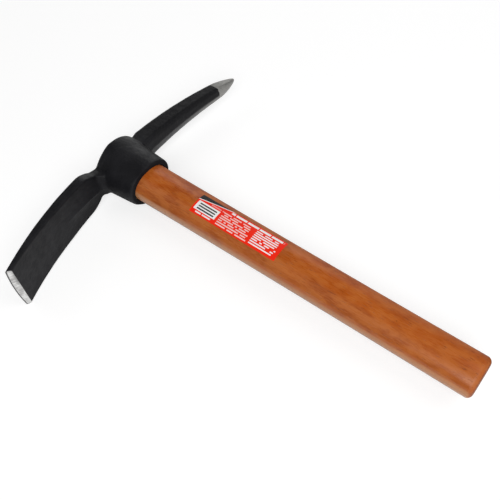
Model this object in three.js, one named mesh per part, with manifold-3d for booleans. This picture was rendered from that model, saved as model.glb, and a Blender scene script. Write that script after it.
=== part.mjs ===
// Pick mattock: a forged head with an oval eye, an adze blade and a pick, wedged on an oval wooden handle.
// Millimetres. X runs along the handle from the eye's top (0) to the butt, +Y to the pick's point,
// -Y to the adze's edge, Z across the blade. The head is alike on both sides of Z = 0.
import * as THREE from 'three';
import { mergeVertices } from 'three/addons/utils/BufferGeometryUtils.js';
import Module from 'manifold-3d';

// Handle: an oval stick that narrows from the eye to the butt
const handleReach = 310; // from the eye's rim to the butt
const handleWidthAtRim = 36.6;
const handleWidthAtGrip = 34.8;
const handleWidthAtButt = 33.6;
const gripPlaceShare = 0.35;
const handleThicknessShare = 0.77;
const buttRounding = 4.4;

// Eye: an oval socket that opens towards its top, with a collar that reaches down the handle
const eyeHeight = 46.7;
const boreFlareInWidth = 4.8; // wider at the top than at the rim
const boreFlareInThickness = 5.8;
const wallAtRim = 4.9;
const wallAtTop = 6;
const rimRounding = 0.6;
const topRounding = 5.2;
const drawnInDepth = 20; // down to here the eye is drawn in beside the adze, most at its top
const rimBoreChamfer = 0.5;

// Both arms
const armRootReach = 17.7; // from the eye's axis
const rootFillet = 4; // radius of the corner between an arm and the eye
const rootSinkShare = 0.9; // the arms start inside the eye's wall, at this share of the bore's half width

// Adze blade
const adzeReach = 142; // from the eye's axis to the edge's corners
const adzeAxisDepth = 8.4; // below the eye's top, at the root
const adzeDroop = 25; // how far the edge lies towards the butt
const adzeNeckWidth = 19.2;
const adzeShoulderReach = 44.9;
const adzeShoulderWidth = 40.6;
const adzeEdgeWidth = 49.7;
const adzeRootThickness = 12.2;
const adzeEndThickness = 4.6;
const adzeCrown = 0.7;
const adzeBow = 1.4; // the edge's middle stands this far past its corners
const adzeBowLength = 20;
const adzeCornerRounding = 1;
const adzeSideRounding = 1.1;
const ridgeReach = 74.6; // from the eye's axis to where the ridge runs out
const ridgeHeight = 4.6;
const ridgePeakShare = 0.46; // the part of the ridge's height that stands above the blade's own face
const groundBevelLength = 3.8;
const groundEdgeThickness = 1.2;

// Pick
const pickReach = 144.6; // from the eye's axis to where the point would be without its blunt end
const pickAxisDepth = 10.4; // below the eye's top, at the root
const pickDroop = 16.5;
const pickArch = 1.05; // how far the middle stands off the droop's curve, towards the eye's top
const pickSwell = 1.2; // height that the middle has over a straight taper
const pickRootHeight = 21.7;
const pickEndHeight = 11.1;
const pickRootWidth = 22.9;
const pickEndWidth = 10.5;
const pickPointLength = 22.7;
const pickPointBluntness = 1;
const pickPointLean = 2; // how far the point lies towards the back
const pickShoulderReach = 30; // from the eye's axis to where the back has its full height
const pickShoulderDepth = 3.4; // below the eye's top, where the back starts
const pickCornerShare = 0.4; // rounded part of each half side of the section
const pickRidgeShare = 0.1; // how far the belly and the back fall off from their ridge to the corners

// Tenon, saw kerf and wedges
const seatGap = 0.3;
const tenonRecess = 1.5; // below the eye's top
const woodWedgeDepth = 29;
const woodWedgeHeadThickness = 4.4;
const woodWedgeTipThickness = 1.4;
const kerfRunOut = 2.5;
const steelWedgeDepth = 17;
const steelWedgeWidth = 22;
const steelWedgeHeadThickness = 2.8;
const steelWedgeTipThickness = 0.7;
const steelWedgeSpacing = 17.5;
const steelWedgeProud = 0.3; // above the tenon's end, still below the eye's top
const cutOverrun = 3; // every cut runs on this far past the solid that it opens

// How finely the forms are divided, and the powers of their curves
const ovalSideCount = 56;
const roundStepCount = 5;
const handleStepCount = 12;
const neckStepCount = 14;
const bladeStepCount = 9;
const pickStepCount = 22;
const pointStepCount = 7;
const drawnInStepCount = 4;
const faceStepCount = 8;
const sideStepCount = 3;
const cornerStepCount = 2;
const ovalPower = 2.2;
const drawnInPower = 1.42;
const pointPower = 1.8;
const pointEndPower = 0.62;
const ridgePower = 1.7;
const ridgeRunOutPower = 0.75;
const stepPower = 1.6;

// Sizes that follow from the ones above
const rimX = eyeHeight;
const tenonX = tenonRecess;
const rimHalf = oval(handleWidthAtRim / 2, handleWidthAtRim * handleThicknessShare / 2);
const boreRimHalf = grown(rimHalf, seatGap);
const boreTopHalf = oval(boreRimHalf.y + boreFlareInWidth / 2, boreRimHalf.z + boreFlareInThickness / 2);
const eyeRimHalf = grown(boreRimHalf, wallAtRim);
const eyeTopHalf = grown(boreTopHalf, wallAtTop);
const armSinkReach = boreTopHalf.y * rootSinkShare;

const wasm = await Module();
wasm.setup();

function oval(y, z) {
  return { y, z };
}

function grown(half, by) {
  return oval(half.y + by, half.z + by);
}

function between(from, to, share) {
  return from + (to - from) * share;
}

function ovalBetween(from, to, share) {
  return oval(between(from.y, to.y, share), between(from.z, to.z, share));
}

function clamped(share) {
  return Math.min(Math.max(share, 0), 1);
}

// Share that eases from 0 to 1, and stays there outside that range.
function eased(share) {
  const kept = clamped(share);
  return kept * kept * (3 - 2 * kept);
}

// How far a quarter round stands off its wall, at a distance from the corner.
function quarterRound(distance, radius) {
  const along = Math.min(Math.max(distance, 0), radius);
  return radius - Math.sqrt(radius ** 2 - (radius - along) ** 2);
}

// Distances from a rounded corner, closest together where the round is steepest.
function roundSteps(radius) {
  return Array.from({ length: roundStepCount }, (_, i) => {
    const angle = (i / roundStepCount) * (Math.PI / 2);
    return radius * (1 - Math.cos(angle));
  });
}

// Share that rises from 0 to 1 in the middle and falls back to 0.
function humped(share) {
  return 1 - (2 * share - 1) ** 2;
}

function signedPower(value, power) {
  return Math.sign(value) * Math.abs(value) ** power;
}

// One ring of the superellipse that the eye, its bore and the handle share. Its -Y half, beside the
// adze, may have another power.
function ovalRing(x, half, adzeSidePower = ovalPower) {
  return Array.from({ length: ovalSideCount }, (_, i) => {
    const angle = (i / ovalSideCount) * Math.PI * 2;
    const power = Math.cos(angle) < 0 ? adzeSidePower : ovalPower;
    const y = half.y * signedPower(Math.cos(angle), 2 / power);
    const z = half.z * signedPower(Math.sin(angle), 2 / power);
    return new THREE.Vector3(x, y, z);
  });
}

function centreOf(ring) {
  const centre = new THREE.Vector3();
  ring.forEach((point) => centre.add(point));
  return centre.divideScalar(ring.length);
}

// Skins a row of rings that have as many points each, and closes both ends with a fan.
function loft(rings) {
  const corners = [];
  const face = (a, b, c) => corners.push(a, b, c);
  const sides = rings[0].length;
  for (let i = 1; i < rings.length; i++) {
    for (let j = 0; j < sides; j++) {
      const next = (j + 1) % sides;
      face(rings[i - 1][j], rings[i - 1][next], rings[i][next]);
      face(rings[i - 1][j], rings[i][next], rings[i][j]);
    }
  }
  const first = rings[0];
  const last = rings[rings.length - 1];
  for (let j = 0; j < sides; j++) {
    const next = (j + 1) % sides;
    face(centreOf(first), first[next], first[j]);
    face(centreOf(last), last[j], last[next]);
  }
  const geometry = new THREE.BufferGeometry();
  geometry.setFromPoints(facingOut(corners));
  return geometry;
}

// Turns every face round when the corners enclose a negative volume.
function facingOut(corners) {
  let volume = 0;
  for (let i = 0; i < corners.length; i += 3) {
    volume += corners[i].dot(corners[i + 1].clone().cross(corners[i + 2]));
  }
  if (volume >= 0) {
    return corners;
  }
  return corners.map((corner, i) => corners[i + [0, 1, -1][i % 3]]);
}

function solidFrom(geometry) {
  const bare = geometry.clone();
  bare.deleteAttribute('normal');
  bare.deleteAttribute('uv');
  const welded = mergeVertices(bare);
  const vertProperties = new Float32Array(welded.attributes.position.array);
  const triVerts = new Uint32Array(welded.index.array);
  return new wasm.Manifold(new wasm.Mesh({ numProp: 3, vertProperties, triVerts }));
}

function geometryFrom(solid) {
  const mesh = solid.getMesh();
  const geometry = new THREE.BufferGeometry();
  geometry.setAttribute('position', new THREE.BufferAttribute(mesh.vertProperties, 3));
  geometry.setIndex(new THREE.BufferAttribute(mesh.triVerts, 1));
  geometry.computeVertexNormals();
  return geometry;
}

// Outside of the eye: a straight flare with a rounded rim and a broadly rounded top.
function eyeHalfAt(x) {
  const inset = quarterRound(x, topRounding) + quarterRound(rimX - x, rimRounding);
  return grown(ovalBetween(eyeTopHalf, eyeRimHalf, x / eyeHeight), -inset);
}

// Power of the eye's oval beside the adze, where it is more pointed towards its top.
function adzeSidePowerAt(x) {
  return between(drawnInPower, ovalPower, eased(x / drawnInDepth));
}

function eyeBody() {
  const topPlaces = roundSteps(topRounding);
  const drawnInPlaces = Array.from({ length: drawnInStepCount + 1 }, (_, i) => {
    return between(topRounding, drawnInDepth, i / drawnInStepCount);
  });
  const rimPlaces = roundSteps(rimRounding).concat(rimRounding).reverse();
  const places = [...topPlaces, ...drawnInPlaces, ...rimPlaces.map((distance) => rimX - distance)];
  return places.map((x) => ovalRing(x, eyeHalfAt(x), adzeSidePowerAt(x)));
}

// The bore runs on past both ends of the eye, and opens in a small chamfer at the rim.
function eyeBore() {
  const shareAt = (x) => x / eyeHeight;
  const start = -cutOverrun;
  const chamferX = rimX - rimBoreChamfer;
  const halfAt = (x) => ovalBetween(boreTopHalf, boreRimHalf, shareAt(x));
  const end = rimX + cutOverrun;
  return [
    ovalRing(start, halfAt(start)),
    ovalRing(chamferX, halfAt(chamferX)),
    ovalRing(rimX, grown(halfAt(rimX), rimBoreChamfer)),
    ovalRing(end, grown(halfAt(rimX), rimBoreChamfer)),
  ];
}

// Reaches from the eye's axis, from the root to the shoulder, to the bevel and to the edge.
function adzeStations() {
  const bevelReach = adzeReach - groundBevelLength;
  const neck = Array.from({ length: neckStepCount }, (_, i) => {
    return between(armSinkReach, adzeShoulderReach, (i / neckStepCount) ** stepPower);
  });
  const blade = Array.from({ length: bladeStepCount }, (_, i) => {
    return between(adzeShoulderReach, bevelReach, i / bladeStepCount);
  });
  const cornerReach = adzeReach - adzeCornerRounding;
  const corner = roundSteps(adzeCornerRounding).map((distance) => adzeReach - distance);
  return [...neck, ridgeReach, ...blade, bevelReach, cornerReach, ...corner].sort((a, b) => a - b);
}

// Half width of the blade: waisted at the neck, full at the shoulder, widest at the edge.
function adzeHalfWidth(reach) {
  const neckShare = eased((reach - armRootReach) / (adzeShoulderReach - armRootReach));
  const bladeShare = Math.max(0, (reach - adzeShoulderReach) / (adzeReach - adzeShoulderReach));
  const waisted = between(adzeNeckWidth, adzeShoulderWidth, neckShare);
  const full = waisted + (adzeEdgeWidth - adzeShoulderWidth) * bladeShare;
  return full / 2 - quarterRound(adzeReach - reach, adzeCornerRounding);
}

// Reach of the eye's outside beside a point of an arm.
function eyeReachAt({ x, y, z }) {
  const half = eyeHalfAt(x);
  const power = y < 0 ? adzeSidePowerAt(x) : ovalPower;
  const inside = Math.max(0, 1 - Math.abs(z / half.z) ** power);
  return half.y * inside ** (1 / power);
}

// Moves a point of an arm's section outwards close to the eye, which rounds the corner between them.
// The round dies out towards the eye's top.
function filleted(point, outwardX, outwardZ) {
  const distance = Math.abs(point.y) - eyeReachAt(point);
  const growth = quarterRound(distance, rootFillet) * eased(point.x / (2 * topRounding));
  point.x += outwardX * growth;
  point.z += outwardZ * growth;
  return point;
}

// The two quarter rounds at one long edge of the blade, from the outer face to the inner one for side 1.
function bladeSide(side, place, outerX, innerX, halfWidth, rounding) {
  const points = [];
  for (const [faceX, inwards] of [[outerX, 1], [innerX, -1]]) {
    for (let i = 1; i <= sideStepCount; i++) {
      const step = inwards > 0 ? i : sideStepCount + 1 - i;
      const angle = (step / (sideStepCount + 1)) * (Math.PI / 2);
      const x = faceX + inwards * rounding * (1 - Math.cos(angle));
      const z = side * (halfWidth - rounding * (1 - Math.sin(angle)));
      points.push(filleted(place(x, z), -inwards * Math.cos(angle), side * Math.sin(angle)));
    }
  }
  return side > 0 ? points : points.reverse();
}

// One section of the blade: crowned outer face, rounded long edges, inner face with its ridge.
function adzeRing(reach) {
  const share = (reach - armRootReach) / (adzeReach - armRootReach);
  const axisX = adzeAxisDepth + adzeDroop * share * Math.abs(share);
  const thickness = between(adzeRootThickness, adzeEndThickness, share);
  const groundShare = (adzeReach - reach) / groundBevelLength;
  const groundThickness = between(groundEdgeThickness, adzeEndThickness, groundShare);
  const outerX = axisX - thickness / 2;
  const innerX = outerX + Math.min(thickness, groundThickness);
  const ridgeShare = (ridgeReach - reach) / (ridgeReach - armRootReach);
  const ridge = ridgeHeight * clamped(ridgeShare) ** ridgeRunOutPower;
  const halfWidth = adzeHalfWidth(reach);
  const bow = adzeBow * Math.max(0, 1 - (adzeReach - reach) / adzeBowLength);
  const outer = (z) => outerX - adzeCrown * (1 - (z / halfWidth) ** 2);
  const inner = (z) => innerX + ridge * ((1 - Math.abs(z) / halfWidth) ** ridgePower + ridgePeakShare - 1);
  const rounding = Math.min(adzeSideRounding, (inner(halfWidth) - outer(halfWidth)) / 2);
  const place = (x, z) => new THREE.Vector3(x, -reach - bow * (1 - (z / halfWidth) ** 2), z);
  const ring = [];
  for (const side of [1, -1]) {
    const faceX = side > 0 ? outer : inner;
    for (let i = 0; i <= faceStepCount; i++) {
      const z = side * (halfWidth - rounding) * ((2 * i) / faceStepCount - 1);
      ring.push(filleted(place(faceX(z), z), -side, 0));
    }
    ring.push(...bladeSide(side, place, outer(halfWidth), inner(halfWidth), halfWidth, rounding));
  }
  return ring;
}

// Reaches from the eye's axis along the pick, closest together at its root and its point.
function pickStations() {
  const pointReach = pickReach - pickPointLength;
  const arm = Array.from({ length: pickStepCount }, (_, i) => {
    return between(armSinkReach, pointReach, (i / pickStepCount) ** stepPower);
  });
  const point = Array.from({ length: pointStepCount + 1 }, (_, i) => {
    const share = Math.sin((i / pointStepCount) * (Math.PI / 2));
    return pointReach + (pickPointLength - pickPointBluntness) * share;
  });
  return [...arm, ...point];
}

// The pick's section in shares of its half height and half width: a bar with rounded corners, whose
// belly and back fall off a little from a ridge along their middle.
function pickOutline() {
  const flatShare = 1 - pickCornerShare;
  const corner = Array.from({ length: cornerStepCount + 1 }, (_, i) => {
    const angle = (i / cornerStepCount) * (Math.PI / 2);
    const x = flatShare + pickCornerShare * Math.cos(angle);
    const z = flatShare + pickCornerShare * Math.sin(angle);
    return { x: x * (1 - pickRidgeShare), z };
  });
  const side = [...corner, ...corner.map(({ x, z }) => ({ x: -x, z })).reverse()];
  const otherSide = side.map(({ x, z }) => ({ x, z: -z })).reverse();
  return [{ x: 1, z: 0 }, ...side, { x: -1, z: 0 }, ...otherSide];
}

// One section of the pick: it droops and tapers, and is drawn out to a point that leans towards the back.
function pickRing(reach) {
  const share = (reach - armRootReach) / (pickReach - armRootReach);
  const pointShare = Math.max(0, 1 - (pickReach - reach) / pickPointLength);
  const taper = (1 - pointShare ** pointPower) ** pointEndPower;
  const offCurve = pickArch * humped(share) + pickPointLean * pointShare ** 2;
  const axisX = pickAxisDepth + pickDroop * share ** 2 - offCurve;
  const height = taper * (between(pickRootHeight, pickEndHeight, share) + pickSwell * humped(share));
  const width = taper * (between(pickRootWidth, pickEndWidth, share) + (pickSwell * humped(share)) / 2);
  const shoulder = eased((reach - armSinkReach) / (pickShoulderReach - armSinkReach));
  const backX = between(pickShoulderDepth, axisX - height / 2, shoulder);
  const bellyX = axisX + height / 2;
  const corners = pickOutline().map(({ x, z }) => {
    return new THREE.Vector3(between(backX, bellyX, (1 + x) / 2), reach, (z * width) / 2);
  });
  const centre = centreOf(corners);
  return corners.map((point) => {
    const outward = point.clone().sub(centre).normalize();
    return filleted(point, outward.x, outward.z);
  });
}

function forgedHead() {
  const adze = solidFrom(loft(adzeStations().map(adzeRing)));
  const pick = solidFrom(loft(pickStations().map(pickRing)));
  const outside = solidFrom(loft(eyeBody())).add(adze).add(pick);
  return outside.subtract(solidFrom(loft(eyeBore())));
}

// Half width of the handle outside the eye: a curve through its width at the rim, the grip and the butt.
function handleHalf(share) {
  const atRim = ((share - gripPlaceShare) * (share - 1)) / gripPlaceShare;
  const atGrip = (share * (share - 1)) / (gripPlaceShare * (gripPlaceShare - 1));
  const atButt = (share * (share - gripPlaceShare)) / (1 - gripPlaceShare);
  const width = handleWidthAtRim * atRim + handleWidthAtGrip * atGrip + handleWidthAtButt * atButt;
  return oval(width / 2, (width * handleThicknessShare) / 2);
}

// The tenon fills the bore less the gap, from its recessed end to the rim.
function tenonHalf(x) {
  return grown(ovalBetween(boreTopHalf, boreRimHalf, x / eyeHeight), -seatGap);
}

function handleBlank() {
  const tenonPlaces = [tenonX, rimX / 2];
  const tenon = tenonPlaces.map((x) => ovalRing(x, tenonHalf(x)));
  const straightReach = handleReach - buttRounding;
  const shaftPlaces = Array.from({ length: handleStepCount }, (_, i) => {
    return (straightReach * i) / handleStepCount;
  });
  const buttPlaces = roundSteps(buttRounding).map((distance) => handleReach - distance);
  const places = [...shaftPlaces, straightReach, ...buttPlaces.reverse()];
  const shaft = places.map((reach) => {
    const inset = quarterRound(handleReach - reach, buttRounding);
    return ovalRing(rimX + reach, grown(handleHalf(reach / handleReach), -inset));
  });
  return solidFrom(loft([...tenon, ...shaft]));
}

// A wedge or its slot: tapered in thickness from its head down, and straight in width.
function wedgeGeometry({ headX, depth, head, tip, width, widthAxis }) {
  const outline = new THREE.Shape([
    new THREE.Vector2(headX, head / 2),
    new THREE.Vector2(headX, -head / 2),
    new THREE.Vector2(headX + depth, -tip / 2),
    new THREE.Vector2(headX + depth, tip / 2),
  ]);
  const geometry = new THREE.ExtrudeGeometry(outline, { depth: width, bevelEnabled: false });
  geometry.translate(0, 0, -width / 2);
  if (widthAxis === 'y') {
    geometry.rotateX(Math.PI / 2);
  }
  return geometry;
}

// The slot that a wedge sits in: the gap wider all round, and open past its head.
function slotFor(wedge, runOut) {
  const spread = (wedge.head - wedge.tip) / wedge.depth;
  return {
    ...wedge,
    headX: wedge.headX - cutOverrun,
    depth: wedge.depth + cutOverrun + runOut,
    head: wedge.head + spread * cutOverrun + seatGap * 2,
    tip: Math.max(seatGap * 2, wedge.tip - spread * runOut + seatGap * 2),
    width: wedge.width + seatGap * 2,
  };
}

const woodWedgeShape = {
  headX: tenonX,
  depth: woodWedgeDepth,
  head: woodWedgeHeadThickness,
  tip: woodWedgeTipThickness,
  width: (boreTopHalf.y + cutOverrun) * 2,
  widthAxis: 'y',
};

const steelWedgeShape = {
  headX: tenonX - steelWedgeProud,
  depth: steelWedgeDepth,
  head: steelWedgeHeadThickness,
  tip: steelWedgeTipThickness,
  width: steelWedgeWidth,
  widthAxis: 'z',
};

function steelWedgeAt(side, shape) {
  return solidFrom(wedgeGeometry(shape).translate(0, (side * steelWedgeSpacing) / 2, 0));
}

const steelSlots = [1, -1].map((side) => steelWedgeAt(side, slotFor(steelWedgeShape, seatGap)));

function withoutSteelSlots(solid) {
  return steelSlots.reduce((rest, slot) => rest.subtract(slot), solid);
}

function handle() {
  const kerf = solidFrom(wedgeGeometry(slotFor(woodWedgeShape, kerfRunOut)));
  return withoutSteelSlots(handleBlank().subtract(kerf));
}

// The wooden wedge is trimmed to the tenon's own oval.
function woodWedge() {
  const whole = solidFrom(wedgeGeometry(woodWedgeShape));
  return withoutSteelSlots(whole.intersect(handleBlank()));
}

const blackPaint = { color: 0x232326, roughness: 0.45, metalness: 0.2 };
const stainedWood = { color: 0xa8552a, roughness: 0.4, metalness: 0 };
const paleWood = { color: 0xc79a63, roughness: 0.7, metalness: 0 };
const bareSteel = { color: 0x8f8f8d, roughness: 0.4, metalness: 1 };

function piece(name, solid, finish) {
  const mesh = new THREE.Mesh(geometryFrom(solid), new THREE.MeshStandardMaterial(finish));
  mesh.name = name;
  return mesh;
}

const mattock = new THREE.Group();
mattock.add(piece('head', forgedHead(), blackPaint));
mattock.add(piece('handle', handle(), stainedWood));
mattock.add(piece('wood_wedge', woodWedge(), paleWood));
mattock.add(piece('steel_wedge_1', steelWedgeAt(1, steelWedgeShape), bareSteel));
mattock.add(piece('steel_wedge_2', steelWedgeAt(-1, steelWedgeShape), bareSteel));

// The origin is the middle of the footprint, on the surface that the tool lies on.
const reachOfAll = new THREE.Box3().setFromObject(mattock);
const middle = reachOfAll.getCenter(new THREE.Vector3());
mattock.position.set(-middle.x, -middle.y, -reachOfAll.min.z);

export default mattock;
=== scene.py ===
"""Looks of a pick mattock: a black forged head, wedged on a stained wooden handle.

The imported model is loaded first, as a fixed frame. Each piece is then modelled in the tool's own axes and set
on the eye of the frame's handle. Lengths are in metres. X runs along the handle from the eye's top (0) to the
butt, +Y to the pick's point, -Y to the adze's edge, and Z across the blade.
"""

import logging
import math
from collections import Counter
from collections.abc import Callable, Iterator, Sequence
from contextlib import contextmanager
from dataclasses import dataclass, field, replace
from enum import Enum

import bmesh
import bpy
from mathutils import Matrix, Vector


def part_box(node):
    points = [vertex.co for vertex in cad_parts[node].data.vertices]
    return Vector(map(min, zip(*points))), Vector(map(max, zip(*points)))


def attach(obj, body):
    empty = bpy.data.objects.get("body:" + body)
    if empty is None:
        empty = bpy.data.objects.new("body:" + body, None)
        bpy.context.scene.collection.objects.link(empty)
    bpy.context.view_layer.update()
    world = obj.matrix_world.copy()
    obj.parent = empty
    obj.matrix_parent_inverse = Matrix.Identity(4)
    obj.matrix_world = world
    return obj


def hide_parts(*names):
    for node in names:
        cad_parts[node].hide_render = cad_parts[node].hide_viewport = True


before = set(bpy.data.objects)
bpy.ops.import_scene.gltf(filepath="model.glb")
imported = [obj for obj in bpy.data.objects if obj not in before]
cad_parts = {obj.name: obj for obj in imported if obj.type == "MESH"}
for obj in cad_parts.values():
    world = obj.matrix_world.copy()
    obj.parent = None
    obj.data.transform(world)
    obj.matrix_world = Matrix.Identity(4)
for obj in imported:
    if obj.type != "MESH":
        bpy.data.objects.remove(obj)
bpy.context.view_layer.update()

log = logging.getLogger("mattock")

BODY = "root"
NEAR = 1e-5
SLIVER = 2e-5
SMOOTHING = 0.5
SMOOTH_UP_TO = 30.0

Test = Callable[[Vector], bool]
Colour = tuple[float, float, float]
Ramp = tuple[float, ...]


def between(start: float, end: float, share: float) -> float:
    """Returns the value at a share of the way from start to end."""
    return start + (end - start) * share


def clamped(share: float) -> float:
    """Returns the share kept from 0 to 1."""
    return min(max(share, 0.0), 1.0)


def eased(share: float) -> float:
    """Returns a share that starts and ends gently, kept from 0 to 1."""
    kept = clamped(share)
    return kept * kept * (3 - 2 * kept)


def humped(share: float) -> float:
    """Returns a share that rises from 0 to 1 in the middle and falls back."""
    return 1 - (2 * share - 1) ** 2


def spread(start: float, end: float, count: int, power: float = 1.0) -> list[float]:
    """Spaces places from start to end.

    Args:
        start: First place.
        end: Last place.
        count: Number of steps.
        power: Above 1, the steps are closer together at the start.

    Returns:
        The places, one more than the steps.
    """
    return [between(start, end, (i / count) ** power) for i in range(count + 1)]


def quarter_turn(count: int) -> list[float]:
    """Returns the sines of the steps of a quarter turn, without its start."""
    return [math.sin(math.pi / 2 * i / count) for i in range(1, count + 1)]


@dataclass(frozen=True)
class Oval:
    """Half width and half thickness of an oval across the handle."""

    y: float
    z: float

    def grown(self, by: float) -> "Oval":
        """Returns the oval that stands off this one by a distance."""
        return Oval(self.y + by, self.z + by)

    def towards(self, other: "Oval", share: float) -> "Oval":
        """Returns the oval at a share of the way to another one."""
        return Oval(between(self.y, other.y, share), between(self.z, other.z, share))


@dataclass(frozen=True)
class EyeSizes:
    """Sizes that the head, the handle and the wedges share, where they meet in the eye."""

    height: float = 0.0467
    rim: Oval = Oval(0.0183, 0.014091)
    flare: Oval = Oval(0.0024, 0.0029)
    seat_gap: float = 0.0003
    tenon_recess: float = 0.0015
    power: float = 2.2

    def bore(self, x: float) -> Oval:
        """Works out the bore's oval.

        Args:
            x: Depth below the eye's top.

        Returns:
            The oval.
        """
        low = self.rim.grown(self.seat_gap)
        top = Oval(low.y + self.flare.y, low.z + self.flare.z)
        return top.towards(low, x / self.height)


class Part(Enum):
    """What a selection in edit mode is made of."""

    CORNERS = "VERT"
    EDGES = "EDGE"
    FACES = "FACE"


class Axis(Enum):
    """Direction that a rod runs in."""

    X = 0
    Y = 1
    Z = 2

    def vector(self) -> Vector:
        """Returns the unit vector along the axis."""
        return Vector(float(i == self.value) for i in range(3))


def at(axis: Axis, place: float) -> Test:
    """Returns the test for corners at a place along an axis."""
    return lambda corner: abs(corner[axis.value] - place) < NEAR


def doubled_faces(mesh: bmesh.types.BMesh) -> list[bmesh.types.BMFace]:
    """Returns the faces that lie on the same corners as another face."""
    counts = Counter(frozenset(face.verts) for face in mesh.faces)
    return [face for face in mesh.faces if counts[frozenset(face.verts)] > 1]


def open_faces(mesh: bmesh.types.BMesh) -> list[bmesh.types.BMFace]:
    """Returns the faces with an edge that no other face shares."""
    return [face for face in mesh.faces if any(edge.is_boundary for edge in face.edges)]


class Workpiece:
    """One mesh that is shaped with edit-mode operators, as by hand."""

    def __init__(self, name: str, low: Sequence[float], high: Sequence[float]) -> None:
        """Adds a cube and stretches it between two corners.

        Args:
            name: Name of the piece.
            low: Lowest corner.
            high: Highest corner.
        """
        bpy.ops.object.select_all(action="DESELECT")
        bpy.ops.mesh.primitive_cube_add(size=1)
        self.obj = bpy.context.active_object
        self.rename(name)
        low, high = Vector(low), Vector(high)
        with self.editing():
            bpy.ops.mesh.select_all(action="SELECT")
            bpy.ops.transform.resize(value=high - low)
            bpy.ops.transform.translate(value=(high + low) / 2)

    def rename(self, name: str) -> None:
        """Names the object and its mesh."""
        self.obj.name = self.obj.data.name = name

    def activate(self) -> None:
        """Makes this piece the only selected one, and the active one."""
        bpy.ops.object.select_all(action="DESELECT")
        self.obj.select_set(True)
        bpy.context.view_layer.objects.active = self.obj

    @contextmanager
    def editing(self) -> Iterator[None]:
        """Holds the piece in edit mode.

        Returns:
            The context, at whose end the piece leaves edit mode.
        """
        self.activate()
        bpy.ops.object.mode_set(mode="EDIT")
        try:
            yield
        finally:
            bpy.ops.object.mode_set(mode="OBJECT")

    def select(self, part: Part, test: Test) -> int:
        """Selects what has every corner in the right place. It is called in edit mode.

        Args:
            part: What to select.
            test: Says whether a corner is in the right place.

        Returns:
            How many were selected.
        """
        bpy.ops.mesh.select_mode(type=part.value)
        bpy.ops.mesh.select_all(action="DESELECT")
        mesh = bmesh.from_edit_mesh(self.obj.data)
        if part is Part.CORNERS:
            found = [v for v in mesh.verts if test(v.co)]
        else:
            items = mesh.edges if part is Part.EDGES else mesh.faces
            good = {v.index for v in mesh.verts if test(v.co)}
            found = [item for item in items if all(v.index in good for v in item.verts)]
        for item in found:
            item.select_set(True)
        mesh.select_flush_mode()
        bmesh.update_edit_mesh(self.obj.data, loop_triangles=False, destructive=False)
        return len(found)

    def cut_rows(self, axis: Axis, places: Sequence[float]) -> None:
        """Cuts rows of corners round the whole piece.

        Args:
            axis: Axis that the rows stand on.
            places: Where they are.
        """
        normal = axis.vector()
        with self.editing():
            for place in places:
                bpy.ops.mesh.select_all(action="SELECT")
                bpy.ops.mesh.bisect(plane_co=normal * place, plane_no=normal)

    def size_row(
        self, axis: Axis, place: float, scale: Sequence[float], shift: Sequence[float] = (0, 0, 0)
    ) -> None:
        """Resizes one row about the axis and moves it. It is called in edit mode.

        Args:
            axis: Axis that the rows stand on.
            place: Where the row is.
            scale: Factor in each direction.
            shift: Distance in each direction.
        """
        self.select(Part.CORNERS, at(axis, place))
        bpy.ops.transform.resize(value=scale, center_override=axis.vector() * place)
        bpy.ops.transform.translate(value=shift)

    def bevel(self, test: Test, width: float, steps: int) -> None:
        """Rounds the edges that have both ends in the right place. It is called in edit mode."""
        if self.select(Part.EDGES, test):
            bpy.ops.mesh.bevel(offset=width, segments=steps)

    def bevel_lines(self, axis: Axis, test: Test, width: float, steps: int, profile: float = 0.5) -> None:
        """Rounds the edges that run mostly along an axis. It is called in edit mode.

        Args:
            axis: Direction of the edges.
            test: Says whether a corner is in the right place.
            width: Width of the rounding.
            steps: Faces across it.
            profile: Shape of the rounding, 0.5 for a circle.
        """
        self.select(Part.EDGES, test)
        mesh = bmesh.from_edit_mesh(self.obj.data)
        for edge in mesh.edges:
            run = edge.verts[1].co - edge.verts[0].co
            edge.select_set(edge.select and abs(run[axis.value]) > run.length / 2)
        bmesh.update_edit_mesh(self.obj.data, loop_triangles=False, destructive=False)
        bpy.ops.mesh.bevel(offset=width, segments=steps, profile=profile, clamp_overlap=False)

    def modify(self, kind: str, **settings: object) -> None:
        """Adds a modifier and applies it at once.

        Args:
            kind: Type of the modifier.
            settings: Values of its properties.
        """
        self.activate()
        modifier = self.obj.modifiers.new(kind.title(), kind)
        for key, value in settings.items():
            setattr(modifier, key, value)
        bpy.ops.object.modifier_apply(modifier=modifier.name)

    def cut_with(self, cutter: "Workpiece") -> None:
        """Takes a cutter's solid out of this one.

        Args:
            cutter: The solid. Its material, if it has one, goes on the cut.
        """
        carried = "TRANSFER" if cutter.obj.data.materials else "INDEX"
        self.modify("BOOLEAN", operation="DIFFERENCE", object=cutter.obj, material_mode=carried)
        bpy.data.objects.remove(cutter.obj)

    def mend(self) -> None:
        """Merges the slivers that cuts leave in a closed piece, and takes away faces that stick out of it."""
        self.modify("TRIANGULATE")
        with self.editing():
            bpy.ops.mesh.select_all(action="SELECT")
            bpy.ops.mesh.remove_doubles(threshold=SLIVER)
            bpy.ops.mesh.dissolve_degenerate(threshold=SLIVER)
            bpy.ops.mesh.select_mode(type=Part.FACES.value)
            bpy.ops.mesh.select_all(action="DESELECT")
            for strays in (doubled_faces, open_faces):
                mesh = bmesh.from_edit_mesh(self.obj.data)
                for face in strays(mesh):
                    face.select_set(True)
                bmesh.update_edit_mesh(self.obj.data)
                bpy.ops.mesh.delete(type="FACE")
            bpy.ops.mesh.select_all(action="SELECT")
            bpy.ops.mesh.delete_loose()

    def join(self, others: Sequence["Workpiece"]) -> None:
        """Makes this piece and others one mesh, still as separate shells.

        Args:
            others: The pieces that become part of this one.
        """
        self.activate()
        for other in others:
            other.obj.select_set(True)
        bpy.ops.object.join()

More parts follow.
